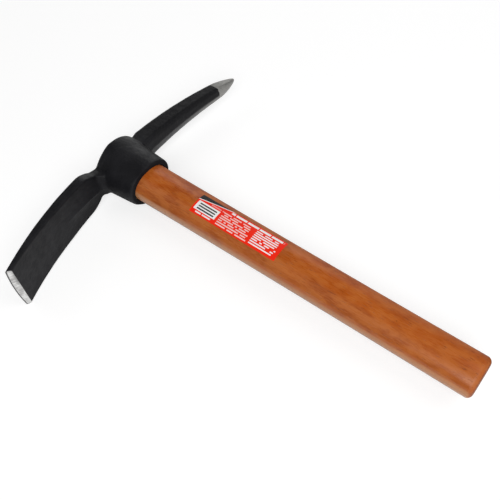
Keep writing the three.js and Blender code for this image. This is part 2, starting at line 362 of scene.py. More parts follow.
    def smooth(self, name: str, weight: Callable[[Vector], float], passes: int) -> None:
        """Smooths the piece, some corners more than others.

        Args:
            name: Name of the vertex group.
            weight: Gives a place its share of the smoothing.
            passes: How often the piece is smoothed.
        """
        group = self.obj.vertex_groups.new(name=name)
        for vertex in self.obj.data.vertices:
            share = weight(vertex.co)
            if share > 0:
                group.add([vertex.index], share, "REPLACE")
        self.modify("SMOOTH", factor=SMOOTHING, iterations=passes, vertex_group=name)

    def coated(self, material: bpy.types.Material) -> "Workpiece":
        """Returns the piece with a material all over."""
        self.obj.data.materials.append(material)
        return self

    def install(self, origin: Vector, slot: str, node: str = "") -> None:
        """Shades the finished piece smooth, but for its sharper edges, and sets it on the frame.

        Args:
            origin: Where the tool's own axes start in the frame.
            slot: The record's material slot that its finish comes from; not used.
            node: The CAD node that it stands for, if it does.
        """
        self.activate()
        bpy.ops.object.shade_smooth_by_angle(angle=math.radians(SMOOTH_UP_TO))
        bpy.ops.transform.translate(value=origin)
        bpy.ops.object.transform_apply(location=True, rotation=True, scale=True)
        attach(self.obj, BODY)
        if node:
            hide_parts(node)
        log.info("%s: %d faces", self.obj.name, len(self.obj.data.polygons))


def oval_rod(name: str, rows: Sequence[tuple[float, Oval]], power: float, steps: int) -> Workpiece:
    """Models a rod along X whose sections are superellipses.

    A square bar gets its long edges rounded by half its width, with the profile of a superellipse, and each
    row of corners is then sized.

    Args:
        name: Name of the piece.
        rows: Place along X and half sizes of each row, in order.
        power: Power of the superellipse.
        steps: Corners in each quarter.

    Returns:
        The rod, closed at both ends.
    """
    places = [place for place, _ in rows]
    rod = Workpiece(name, (places[0], -1, -1), (places[-1], 1, 1))
    with rod.editing():
        rod.bevel_lines(Axis.X, lambda corner: True, 1 - NEAR, steps, profile=2 ** (-2 / power))
        bpy.ops.mesh.select_all(action="SELECT")
        bpy.ops.mesh.remove_doubles(threshold=NEAR * 4)
    rod.cut_rows(Axis.X, places[1:-1])
    with rod.editing():
        for place, half in rows:
            rod.size_row(Axis.X, place, (1, half.y, half.z))
    return rod


@dataclass(frozen=True)
class Blade:
    """Sizes of the adze blade. A reach is measured from the eye's axis, a depth from the eye's top."""

    root_reach: float = 0.0177
    reach: float = 0.142
    axis_depth: float = 0.0084
    droop: float = 0.025
    neck_width: float = 0.0192
    shoulder_reach: float = 0.0449
    shoulder_width: float = 0.0414
    edge_width: float = 0.0494
    root_thickness: float = 0.0122
    end_thickness: float = 0.0046
    crown: float = 0.0007
    bow: float = 0.0014
    corner_rounding: float = 0.001
    side_rounding: float = 0.0017
    ridge_reach: float = 0.0746
    ridge_height: float = 0.0046
    ridge_peak_share: float = 0.46
    ridge_power: float = 1.7
    ridge_end_power: float = 4.5
    ridge_run_out: float = 0.6
    eye_reach: float = 0.0262
    fillet_radius: float = 0.004
    ground_length: float = 0.0038
    ground_edge: float = 0.0012
    overrun: float = 0.004
    rows: int = 12
    columns: tuple[float, ...] = (0.06, 0.13, 0.25, 0.5, 0.75)
    side_steps: int = 5
    edge_columns: int = 16
    corner_columns: int = 6

    def share(self, reach: float) -> float:
        """Returns how far along the blade a reach is, 0 at the root and 1 at the edge."""
        return (reach - self.root_reach) / (self.reach - self.root_reach)

    def fillet(self, reach: float) -> float:
        """Returns how far the blade's inner face stands out where it grows out of the eye."""
        away = 1 - clamped((reach - self.eye_reach) / self.fillet_radius)
        return self.fillet_radius * (1 - math.sqrt(1 - away**2))

    def half_width(self, reach: float) -> float:
        """Works out half the width, waisted at the neck and widest at the edge.

        Args:
            reach: Reach of the row.

        Returns:
            Half the width.
        """
        neck_share = eased((reach - self.root_reach) / (self.shoulder_reach - self.root_reach))
        blade_share = max(0.0, (reach - self.shoulder_reach) / (self.reach - self.shoulder_reach))
        waisted = between(self.neck_width, self.shoulder_width, neck_share)
        return (waisted + (self.edge_width - self.shoulder_width) * blade_share) / 2 + self.fillet(reach) / 3

    def thickness(self, reach: float) -> float:
        """Returns the thickness at a long edge, before the ridge is raised."""
        tapered = between(self.root_thickness, self.end_thickness, self.share(reach))
        return max(self.end_thickness, tapered) + self.fillet(reach)

    def middle(self, reach: float) -> float:
        """Returns the depth of the blade's middle, which droops towards the butt."""
        share = self.share(reach)
        return self.axis_depth + self.droop * share * abs(share) + self.fillet(reach) / 2

    def ridge(self, reach: float, share: float) -> float:
        """Returns how far the ridge raises the inner face in the middle, and lowers it at the sides.

        Args:
            reach: Reach of the row.
            share: Distance from the middle plane, as a share of the half width.

        Returns:
            The distance towards the butt.
        """
        left = clamped((self.ridge_reach - reach) / (self.ridge_reach - self.root_reach))
        power = between(self.ridge_end_power, self.ridge_power, left)
        raised = self.ridge_peak_share * left**self.ridge_run_out
        lowered = (1 - self.ridge_peak_share) * left
        return self.ridge_height * between(-lowered, raised, (1 - share) ** power)

    def edge_reach(self, z: float) -> float:
        """Works out the line of the edge, bowed and with round corners.

        Args:
            z: Distance from the middle plane.

        Returns:
            The reach of the edge there.
        """
        half = self.edge_width / 2
        bowed = self.reach + self.bow * (1 - (z / half) ** 2)
        into_corner = min(max(abs(z) - half + self.corner_rounding, 0.0), self.corner_rounding)
        return bowed - self.corner_rounding + math.sqrt(self.corner_rounding**2 - into_corner**2)


@dataclass(frozen=True)
class Spike:
    """Sizes of the pick, which has a ridge along its belly and its back."""

    root_reach: float = 0.0177
    reach: float = 0.1448
    axis_depth: float = 0.0104
    droop: float = 0.0165
    arch: float = 0.00105
    swell: float = 0.0012
    root_height: float = 0.0217
    end_height: float = 0.0111
    root_width: float = 0.0229
    end_width: float = 0.0105
    point_length: float = 0.0227
    point_power: float = 1.8
    point_sharpness: float = 0.62
    point_lean: float = 0.002
    bluntness: float = 0.001
    shoulder_reach: float = 0.03
    shoulder_depth: float = 0.0034
    corner_share: float = 0.4
    ridge_share: float = 0.1
    roundness: float = 0.8
    shaft_rows: int = 16
    point_rows: int = 12
    row_power: float = 1.6
    corner_bands: tuple[tuple[float, float], ...] = ((0.5, 0.75), (0.75, 0.95), (0.95, 1.1))

    def belly(self) -> tuple[float, float, float]:
        """Gives the depth of the belly as a curve of the share of the reach.

        Returns:
            The curve's start, slope and bend.
        """
        start = self.axis_depth + self.root_height / 2
        lift = 4 * self.arch - 2 * self.swell
        return start, (self.end_height - self.root_height) / 2 - lift, self.droop + lift

    def section(self, reach: float, sink: float) -> tuple[float, float, float]:
        """Works out one section of the pick.

        Args:
            reach: Reach of the section.
            sink: Reach at which the pick starts, inside the eye's wall.

        Returns:
            The depth of its middle, its half height and its half width.
        """
        share = (reach - self.root_reach) / (self.reach - self.root_reach)
        point_share = max(0.0, 1 - (self.reach - reach) / self.point_length)
        taper = (1 - point_share**self.point_power) ** self.point_sharpness
        off_curve = self.arch * humped(share) + self.point_lean * point_share**2
        middle = self.axis_depth + self.droop * share**2 - off_curve
        height = taper * (between(self.root_height, self.end_height, share) + self.swell * humped(share))
        width = taper * (between(self.root_width, self.end_width, share) + self.swell * humped(share) / 2)
        shoulder = eased((reach - sink) / (self.shoulder_reach - sink))
        back = between(self.shoulder_depth, middle - height / 2, shoulder)
        belly = middle + height / 2
        return (back + belly) / 2, (belly - back) / 2, width / 2


@dataclass
class ForgedHead:
    """The forging: an oval eye with an adze blade on one side and a pick on the other."""

    eye: EyeSizes
    paint: bpy.types.Material
    ground: bpy.types.Material
    edge: bpy.types.Material
    blade: Blade = field(default_factory=Blade)
    spike: Spike = field(default_factory=Spike)
    wall_at_rim: float = 0.0049
    wall_at_top: float = 0.006
    eye_steps: int = 24
    top_steps: int = 8
    rim_steps: int = 5
    drawn_in_power: float = 1.42
    drawn_in_depths: tuple[float, ...] = (0.0, 0.006, 0.01, 0.015, 0.02)
    rim_rounding: float = 0.0006
    top_rounding: float = 0.0052
    bore_chamfer: float = 0.0005
    sink_share: float = 0.9
    grain_size: float = 0.0006
    fillet_reach: float = 0.008
    fillet_fullness: float = 1.6
    fillet_passes: int = 80
    overall_passes: int = 1
    point_blend: float = 0.006
    point_passes: int = 14
    pick_root_share: float = 0.15
    hammer_size: float = 0.014
    hammer_depth: float = 0.00022
    cut_overrun: float = 0.003

    def outside(self, x: float) -> Oval:
        """Returns the eye's outer oval at a depth, before its ends are rounded."""
        return self.eye.bore(x).grown(between(self.wall_at_top, self.wall_at_rim, x / self.eye.height))

    def sink(self) -> float:
        """Returns the reach at which both arms start, inside the eye's wall."""
        return self.eye.bore(0).y * self.sink_share

    def eye_blank(self) -> Workpiece:
        """Models the eye without its bore: a flared oval with a rounded rim and a broadly rounded top.

        Returns:
            The blank.
        """
        height = self.eye.height
        places = (*self.drawn_in_depths, height)
        rows = [(x, self.outside(x)) for x in places]
        blank = oval_rod("eye_blank", rows, self.eye.power, self.eye_steps)
        for x in self.drawn_in_depths[:-1]:
            self.draw_in(blank, x)
        with blank.editing():
            blank.bevel(at(Axis.X, 0), self.top_rounding, self.top_steps)
            blank.bevel(at(Axis.X, height), self.rim_rounding, self.rim_steps)
        return blank

    def side_power(self, x: float) -> float:
        """Returns the power of the eye's oval beside the adze, which is more pointed at the top."""
        return between(self.drawn_in_power, self.eye.power, eased(x / self.drawn_in_depths[-1]))

    def draw_in(self, blank: Workpiece, x: float) -> None:
        """Draws one row of the eye in beside the adze.

        Args:
            blank: The eye.
            x: Depth of the row.
        """
        half, power, in_row = self.outside(x), self.side_power(x), at(Axis.X, x)
        row = {(round(v.co.y, 6), round(v.co.z, 6)) for v in blank.obj.data.vertices if in_row(v.co)}
        with blank.editing():
            for y, z in sorted(place for place in row if place[0] < 0 < place[1]):
                factor = ((-y / half.y) ** power + (z / half.z) ** power) ** (-1 / power)
                blank.select(
                    Part.CORNERS,
                    lambda corner: in_row(corner) and math.hypot(corner.y - y, abs(corner.z) - z) < NEAR,
                )
                bpy.ops.transform.resize(value=(1, factor, factor), center_override=(0, 0, 0))

    def adze_blank(self) -> Workpiece:
        """Models the blade: rows are waisted and bent, then the ridge and the crown are raised.

        Returns:
            The blank.
        """
        blade = self.blade
        end = blade.reach + blade.overrun
        reaches = spread(self.sink(), blade.shoulder_reach, blade.rows)
        reaches += spread(blade.shoulder_reach, end, blade.rows)[1:] + [blade.ridge_reach]
        blank = Workpiece("adze_blank", (-0.5, -end, -1), (0.5, -self.sink(), 1))
        blank.cut_rows(Axis.Y, [-reach for reach in reaches[1:] if reach < end])
        blank.cut_rows(Axis.Z, [side * share for share in (0, *blade.columns) for side in (1, -1)])
        with blank.editing():
            for reach in reaches:
                scale = (blade.thickness(reach), 1, blade.half_width(reach))
                blank.size_row(Axis.Y, -reach, scale, (blade.middle(reach), 0, 0))
                for share in (0, *blade.columns, 1):
                    self.raise_faces(blank, reach, share)
            blank.bevel_lines(Axis.Y, self.on_long_edge, blade.side_rounding, blade.side_steps)
        return blank

    def raise_faces(self, blank: Workpiece, reach: float, share: float) -> None:
        """Raises the ridge and the crown at one row, on both sides of the middle plane.

        Args:
            blank: The blade.
            reach: Reach of the row.
            share: Distance from the middle plane, as a share of the half width.
        """
        blade = self.blade
        place = blade.half_width(reach) * share
        crown = -blade.crown * (1 - share**2)
        for inner, lift in ((True, blade.ridge(reach, share)), (False, crown)):
            blank.select(
                Part.CORNERS,
                lambda corner: abs(corner.y + reach) < NEAR
                and abs(abs(corner.z) - place) < NEAR
                and (corner.x > blade.middle(reach)) == inner,
            )
            bpy.ops.transform.translate(value=(lift, 0, 0))

    def on_long_edge(self, corner: Vector) -> bool:
        """Tells whether a corner lies on one of the blade's four long edges."""
        return abs(abs(corner.z) - self.blade.half_width(-corner.y)) < NEAR

    def pick_blank(self) -> Workpiece:
        """Models the pick: a bar with rounded long edges, ridged belly and back, drawn out to a point.

        Returns:
            The blank.
        """
        spike = self.spike
        sink, tip = self.sink(), spike.reach - spike.bluntness
        shoulder = spike.reach - spike.point_length
        reaches = spread(sink, shoulder, spike.shaft_rows, spike.row_power)
        reaches += [between(shoulder, tip, turn) for turn in quarter_turn(spike.point_rows)]
        blank = Workpiece("pick_blank", (-1, sink, -1), (1, tip, 1))
        blank.cut_rows(Axis.Z, [0])
        with blank.editing():
            blank.bevel_lines(Axis.Y, lambda corner: abs(corner.z) > 0.5, spike.corner_share, steps=2)
            blank.select(Part.CORNERS, lambda corner: abs(corner.z) > 0.5)
            bpy.ops.transform.resize(value=(1 - spike.ridge_share, 1, 1))
        blank.cut_rows(Axis.Y, reaches[1:-1])
        with blank.editing():
            for reach in reaches:
                self.round_point(blank, reach)
                middle, half_height, half_width = spike.section(reach, sink)
                blank.size_row(Axis.Y, reach, (half_height, 1, half_width), (middle, 0, 0))
        return blank

    def round_point(self, blank: Workpiece, reach: float) -> None:
        """Makes one row of the pick rounder towards the point, before the row is sized.

        Args:
            blank: The pick.
            reach: Reach of the row.
        """
        spike = self.spike
        share = eased(1 - (spike.reach - reach) / spike.point_length) * spike.roundness
        in_row = at(Axis.Y, reach)
        for low, high in spike.corner_bands:
            row = [v.co for v in bmesh.from_edit_mesh(blank.obj.data).verts if in_row(v.co)]
            place = next(Vector((co.x, 0, co.z)) for co in row if low < abs(co.z) < high)
            factor = between(1, 1 / place.length, share)
            blank.select(Part.CORNERS, lambda corner: in_row(corner) and low < abs(corner.z) < high)
            bpy.ops.transform.resize(value=(factor, 1, factor), center_override=(0, reach, 0))

    def fillet_share(self, corner: Vector) -> float:
        """Works out how much a corner is smoothed, most where an arm leaves the eye.

        Args:
            corner: Its place.

        Returns:
            The share, from 0 to 1.
        """
        half = self.outside(min(max(corner.x, 0.0), self.eye.height))
        inside = max(0.0, 1 - abs(corner.z / half.z) ** self.eye.power)
        distance = abs(abs(corner.y) - half.y * inside ** (1 / self.eye.power))
        if corner.y > 0:
            return self.pick_root_share * eased(self.fillet_fullness - 2 * distance / self.fillet_reach)
        beside = max(0.0, abs(corner.z) - self.blade.half_width(-corner.y)) / self.fillet_reach
        return eased(self.fillet_fullness - distance / self.fillet_reach - 2 * beside)

    def forge(self) -> Workpiece:
        """Joins the three blanks into one skin and blends their corners.

        Returns:
            The forging, before it is bored and ground.
        """
        head = self.eye_blank()
        head.rename("forged_head")
        head.join([self.adze_blank(), self.pick_blank()])
        head.modify("REMESH", mode="VOXEL", voxel_size=self.grain_size, use_smooth_shade=True)
        head.smooth("roots", self.fillet_share, self.fillet_passes)
        head.modify("SMOOTH", factor=SMOOTHING, iterations=self.overall_passes)
        start = self.spike.reach - self.spike.point_length
        head.smooth("point", lambda corner: eased((corner.y - start) / self.point_blend), self.point_passes)
        hammered = bpy.data.textures.new("hammered", "CLOUDS")
        hammered.noise_scale = self.hammer_size
        head.modify("DISPLACE", texture=hammered, texture_coords="LOCAL", strength=self.hammer_depth)
        return head

    def bore_cutter(self) -> Workpiece:
        """Models what is taken out of the eye, with a small chamfer at both ends.

        Returns:
            The cutter.
        """
        bore, height, chamfer = self.eye.bore, self.eye.height, self.bore_chamfer
        top, rim = bore(0).grown(chamfer), bore(height).grown(chamfer)
        rows = [(-self.cut_overrun, top), (0.0, top)]
        rows += [(x, bore(x)) for x in (chamfer, height - chamfer)]
        rows += [(height, rim), (height + self.cut_overrun, rim)]
        return oval_rod("bore_cutter", rows, self.eye.power, self.eye_steps)

    def bevel_cutter(self) -> Workpiece:
        """Models what the grinding wheel takes off the inner face at the edge.

        Returns:
            The cutter.
        """
        blade = self.blade
        start = blade.reach - blade.ground_length
        high = blade.middle(start) + blade.thickness(start) / 2
        low = blade.middle(blade.reach) - blade.end_thickness / 2 + blade.ground_edge
        slope = (high - low) / blade.ground_length
        near, far = start - 3 * blade.ground_length, blade.reach + 3 * blade.ground_length
        side = blade.edge_width
        cutter = Workpiece("bevel_cutter", (0, -far, -side), (self.cut_overrun * 6, -near, side))
        with cutter.editing():
            for reach in (near, far):
                cutter.size_row(Axis.Y, -reach, (1, 1, 1), (high - slope * (reach - start), 0, 0))
        return cutter

    def edge_cutter(self) -> Workpiece:
        """Models what is cut off past the edge: its near face is bowed and wraps round both corners.

        Returns:
            The cutter.
        """
        blade = self.blade
        half, rounding = blade.edge_width / 2, blade.corner_rounding
        flat = half - rounding
        rounded = [flat + rounding * turn for turn in quarter_turn(blade.corner_columns)]
        columns = spread(-flat, flat, blade.edge_columns)
        columns += [side * column for column in rounded for side in (1, -1)]
        near, far = blade.reach - rounding, blade.reach + 4 * blade.overrun
        cutter = Workpiece("edge_cutter", (0, -far, -2 * half), (blade.droop * 2, -near, 2 * half))
        cutter.cut_rows(Axis.Z, columns)
        with cutter.editing():
            for column in columns:
                tests = at(Axis.Z, column), at(Axis.Y, -near)
                cutter.select(Part.CORNERS, lambda corner: all(test(corner) for test in tests))
                bpy.ops.transform.translate(value=(0, near - blade.edge_reach(column), 0))
        return cutter

    def build(self, origin: Vector) -> None:
        """Forges, bores and grinds the head, and sets it on the frame.

        Args:
            origin: Where the tool's own axes start in the frame.
        """
        head = self.forge().coated(self.paint)
        head.cut_with(self.bore_cutter())
        for cutter, finish in ((self.bevel_cutter(), self.ground), (self.edge_cutter(), self.edge)):
            head.cut_with(cutter.coated(finish))
        head.mend()
        head.install(origin, "head", "head")


@dataclass(frozen=True)
class WedgeSizes:
    """Sizes of one wedge in the tenon's end, tapered in thickness from its head down."""

    name: str
    depth: float
    head: float
    tip: float
    width: float
    across: Axis
    aside: float = 0.0
    proud: float = 0.0

    def model(self, eye: EyeSizes, gap: float = 0.0, run_out: float = 0.0, overrun: float = 0.0) -> Workpiece:
        """Models the wedge, or with a gap the slot that it sits in.

        Args:
            eye: Sizes of the eye.
            gap: Distance that a slot keeps all round.
            run_out: How much deeper a slot goes.
            overrun: How far a slot runs on above the wedge's head.

        Returns:
            The solid, in the tool's own axes.
        """
        slope = (self.head - self.tip) / self.depth
        top = eye.tenon_recess - self.proud
        wide = self.width / 2 + gap
        head = (self.head + slope * overrun) / 2 + gap
        tip = max(gap, (self.tip - slope * run_out) / 2 + gap)
        across_y = self.across is Axis.Y
        high = (top + self.depth + run_out, wide if across_y else 1, 1 if across_y else wide)
        low = (top - overrun, -high[1], -high[2])
        solid = Workpiece(self.name, low, high)
        with solid.editing():
            for place, thick in ((low[0], head), (high[0], tip)):
                scale = (1, 1, thick) if across_y else (1, thick, 1)
                solid.size_row(Axis.X, place, scale, (0, self.aside, 0))
        return solid


@dataclass
class Handle:
    """The stained handle with its tenon in the eye, sawn with a kerf for the wedges."""

    eye: EyeSizes
    wood: bpy.types.Material
    wedge_wood: bpy.types.Material
    wedge_steel: bpy.types.Material
    reach: float = 0.31
    rim_width: float = 0.0366
    grip_width: float = 0.0348
    butt_width: float = 0.0336
    grip_share: float = 0.35
    thickness_share: float = 0.77
    butt_rounding: float = 0.0044
    end_rounding: float = 0.0004
    edge_softness: float = 0.00025
    cut_overrun: float = 0.003
    kerf_run_out: float = 0.0025
    rows: int = 16
    steps: int = 20
    end_steps: int = 2
    butt_steps: int = 7

    def half(self, share: float) -> Oval:
        """Works out the handle's oval, whose width is a curve through three widths.

        Args:
            share: Share of the handle's reach.

        Returns:
            The oval.
        """
        grip = self.grip_share
        width = self.rim_width * (share - grip) * (share - 1) / grip
        width += self.grip_width * share * (share - 1) / (grip * (grip - 1))
        width += self.butt_width * share * (share - grip) / (1 - grip)
        return Oval(width / 2, width * self.thickness_share / 2)

    def tenon_rows(self) -> list[tuple[float, Oval]]:
        """Returns the rows of the tenon, which fills the bore less its gap."""
        places = (self.eye.tenon_recess, self.eye.height / 2)
        return [(x, self.eye.bore(x).grown(-self.eye.seat_gap)) for x in places]

    def blank(self, name: str) -> Workpiece:
        """Models the handle without its kerf.

        Args:
            name: Name of the piece.

        Returns:
            The handle.
        """
        shares = spread(0, 1, self.rows)
        shaft = [(self.eye.height + self.reach * share, self.half(share)) for share in shares]
        rod = oval_rod(name, self.tenon_rows() + shaft, self.eye.power, self.steps)
        top, butt = self.eye.tenon_recess, self.eye.height + self.reach
        with rod.editing():
            rod.bevel(at(Axis.X, top), self.end_rounding, self.end_steps)
            rod.bevel(at(Axis.X, butt), self.butt_rounding, self.butt_steps)
        return rod

    def wedge_sizes(self) -> list[WedgeSizes]:
        """Sizes the three wedges.

        Returns:
            The wooden wedge along the oval and the two steel ones across it.
        """
        width = 2 * self.eye.bore(0).grown(self.cut_overrun).y
        wood = WedgeSizes("kerf_wedge", depth=0.029, head=0.0044, tip=0.0014, width=width, across=Axis.Y)
        steel = WedgeSizes(
            "cross_wedge_1",
            depth=0.017,
            head=0.0028,
            tip=0.0007,
            width=0.022,
            across=Axis.Z,
            aside=0.00875,
            proud=0.0003,
        )
        return [wood, steel, replace(steel, name="cross_wedge_2", aside=-steel.aside)]

    def build(self, origin: Vector) -> None:
        """Builds the handle and its wedges and sets them on the frame.

        Args:
            origin: Where the tool's own axes start in the frame.
        """
        wood_wedge, *steel_wedges = self.wedge_sizes()
        gap = self.eye.seat_gap
        handle = self.blank("stained_handle").coated(self.wood)
        wedge = wood_wedge.model(self.eye).coated(self.wedge_wood)
        wedge.modify("BOOLEAN", operation="INTERSECT", object=handle.obj)
        handle.cut_with(wood_wedge.model(self.eye, gap, self.kerf_run_out, self.cut_overrun))
        for sizes in steel_wedges:
            for piece in (handle, wedge):
                piece.cut_with(sizes.model(self.eye, gap, gap, self.cut_overrun))
        handle.install(origin, "handle", "handle")
        wedge.install(origin, "wood_wedge", "wood_wedge")
        for i, sizes in enumerate(steel_wedges, 1):
            steel = sizes.model(self.eye).coated(self.wedge_steel)
            steel.modify("BEVEL", width=self.edge_softness, segments=2)
            steel.install(origin, "steel_wedge", f"steel_wedge_{i}")


@dataclass
class Sticker:
    """The printed sticker on the handle: a thin skin that follows the wood."""

    handle: Handle
    design: "PrintedSticker"
    start: float = 0.0548
    end: float = 0.1406
    low: float = -0.0098
    high: float = 0.0095
    corner_rounding: float = 0.0008
    corner_steps: int = 4
    lift: float = 0.00004
    thickness: float = 0.00012

    def build(self, origin: Vector) -> None:
        """Cuts the skin out of a copy of the handle's surface and thickens it.

        Args:
            origin: Where the tool's own axes start in the frame.
        """
        skin = self.handle.blank("sticker")
        rim = self.handle.eye.height
        sides = (
            ((rim + self.start, 0, 0), (-1, 0, 0)),
            ((rim + self.end, 0, 0), (1, 0, 0)),
            ((0, self.low, 0), (0, -1, 0)),
            ((0, self.high, 0), (0, 1, 0)),
            ((0, 0, 0), (0, 0, -1)),
        )
        corners = [(rim + x, y) for x in (self.start, self.end) for y in (self.low, self.high)]
        with skin.editing():
            for place, outward in sides:
                bpy.ops.mesh.select_all(action="SELECT")
                bpy.ops.mesh.bisect(plane_co=place, plane_no=outward, clear_outer=True)
            skin.select(
                Part.CORNERS,
                lambda corner: any(at(Axis.X, x)(corner) and at(Axis.Y, y)(corner) for x, y in corners),
            )
            bpy.ops.mesh.bevel(offset=self.corner_rounding, segments=self.corner_steps, affect="VERTICES")
        skin.modify("DISPLACE", strength=self.lift, mid_level=0)
        skin.modify("SOLIDIFY", thickness=self.thickness, offset=1)
        low, high = Vector((rim + self.start, self.low, 0)), Vector((rim + self.end, self.high, 0))
        skin.coated(self.design.make(origin + low, origin + high)).install(origin, "sticker")


def reckoned(operation: str) -> Callable[["Value", "Value | float"], "Value"]:
    """Returns the method that reckons with a value and another number by one operation."""
    return lambda value, other: value.math(operation, other)


@dataclass(frozen=True)
class Value:
    """What a node gives out, which can be reckoned with like a plain number."""

    recipe: "Recipe"
    socket: bpy.types.NodeSocket

    def math(self, operation: str, other: "Value | float" = 0.0, clamp: bool = False) -> "Value":
        """Returns the result of one operation on this number and another."""
        return self.recipe.node("Math", {0: self, 1: other}, operation=operation, use_clamp=clamp)

    __add__ = reckoned("ADD")
    __sub__ = reckoned("SUBTRACT")
    __mul__ = reckoned("MULTIPLY")
    __truediv__ = reckoned("DIVIDE")
    __pow__ = reckoned("POWER")
    __gt__ = reckoned("GREATER_THAN")
    __lt__ = reckoned("LESS_THAN")

    def ramp(self, low: float, high: float, start: float = 0.0, end: float = 1.0) -> "Value":
        """Maps a range of values smoothly to another, and keeps it there."""
        inputs = dict(enumerate((self, low, high, start, end)))
        return self.recipe.node("MapRange", inputs, interpolation_type="SMOOTHSTEP")


@dataclass(frozen=True)
class Grain:
    """A pattern of noise: its size, its shape, and the range of it that is mapped to another.

    The stretch says how much longer a feature is in each direction, and the turn is an angle about Z.
    """

    size: float
    stretch: tuple[float, float, float] = (1, 1, 1)
    detail: float = 3.0
    turn: float = 0.0
    low: float = 0.3
    high: float = 0.7
    start: float = 0.0
    end: float = 1.0


class Recipe:
    """A material put together from nodes, which ends in one Principled shader."""

    def __init__(self, name: str, **shader: object) -> None:
        """Starts a material.

        Args:
            name: Name of the material.
            shader: Values of the shader's sockets that are the same all over, with _ for a space.
        """
        self.material = bpy.data.materials.new(name)
        self.material.use_nodes = True
        self.tree = self.material.node_tree
        self.place = self.node("TexCoord", {}, "Object")
        self.finish(**shader)

    def feed(self, socket: bpy.types.NodeSocket, value: object) -> None:
        """Links a socket, or sets its value.

        Args:
            socket: The socket.
            value: What a node gives out, or a plain value.
        """
        if isinstance(value, Value):
            self.tree.links.new(value.socket, socket)
        elif isinstance(value, tuple) and socket.type == "RGBA":
            socket.default_value = (*value, 1)
        else:
            socket.default_value = value

    def node(
        self, kind: str, inputs: dict[int | str, object], output: int | str = 0, **settings: object
    ) -> Value:
        """Adds a node.

        Args:
            kind: Its type.
            inputs: What its sockets are fed.
            output: Which of its outputs is returned.
            settings: Values of its own properties.

        Returns:
            What it gives out.
        """
        node = self.tree.nodes.new(f"ShaderNode{kind}")
        for key, setting in settings.items():
            setattr(node, key, setting)
        for key, value in inputs.items():
            self.feed(node.inputs[key], value)
        return Value(self, node.outputs[output])

    def parts(self, origin: Vector) -> list[Value]:
        """Returns the place's X, Y and Z from an origin."""
        return [self.node("SeparateXYZ", {0: self.place}, i) - start for i, start in enumerate(origin)]

    def noise(self, grain: Grain) -> Value:
        """Adds soft noise.

        Args:
            grain: Its size and shape.

        Returns:
            The noise, around 0.5.
        """
        scale = [grain.size * stretch for stretch in grain.stretch]
        inputs = {"Vector": self.place, "Rotation": (0, 0, grain.turn), "Scale": scale}
        place = self.node("Mapping", inputs, vector_type="TEXTURE")
        return self.node("TexNoise", {"Vector": place, "Scale": 1, "Detail": grain.detail})

    def pattern(self, grain: Grain) -> Value:
        """Returns the grain's noise, mapped to its range."""
        return self.noise(grain).ramp(grain.low, grain.high, grain.start, grain.end)

    def blend(self, share: Value, first: Value | Colour, second: Value | Colour) -> Value:
        """Returns a colour at a share of the way from the first to the second."""
        return self.node("Mix", {0: share, 6: first, 7: second}, 2, data_type="RGBA")

    def layered(self, colour: Value | Colour, *layers: tuple[Value, Value | Colour]) -> Value | Colour:
        """Lays colours over each other.

        Args:
            colour: The lowest one.
            layers: The share and the colour of each one over it.

        Returns:
            The colour that is seen.
        """
        for share, over in layers:
            colour = self.blend(share, colour, over)
        return colour

    def bump(self, height: Value, distance: float, below: Value | None = None) -> Value:
        """Returns a normal that is tilted by a height, on top of another bump if there is one."""
        inputs = {"Distance": distance, "Height": height}
        return self.node("Bump", inputs if below is None else inputs | {"Normal": below})

    def finish(self, **sockets: object) -> bpy.types.Material:
        """Feeds the shader's sockets.

        Args:
            sockets: What each one is fed, with _ for a space in its name.

        Returns:
            The material.
        """
        shader = self.tree.nodes["Principled BSDF"]
        for key, value in sockets.items():
            self.feed(shader.inputs[key.replace("_", " ")], value)
        return self.material


def shaded(colour: Colour, share: float) -> Colour:
    """Returns a colour with only a share of its light."""
    return tuple(share * part for part in colour)


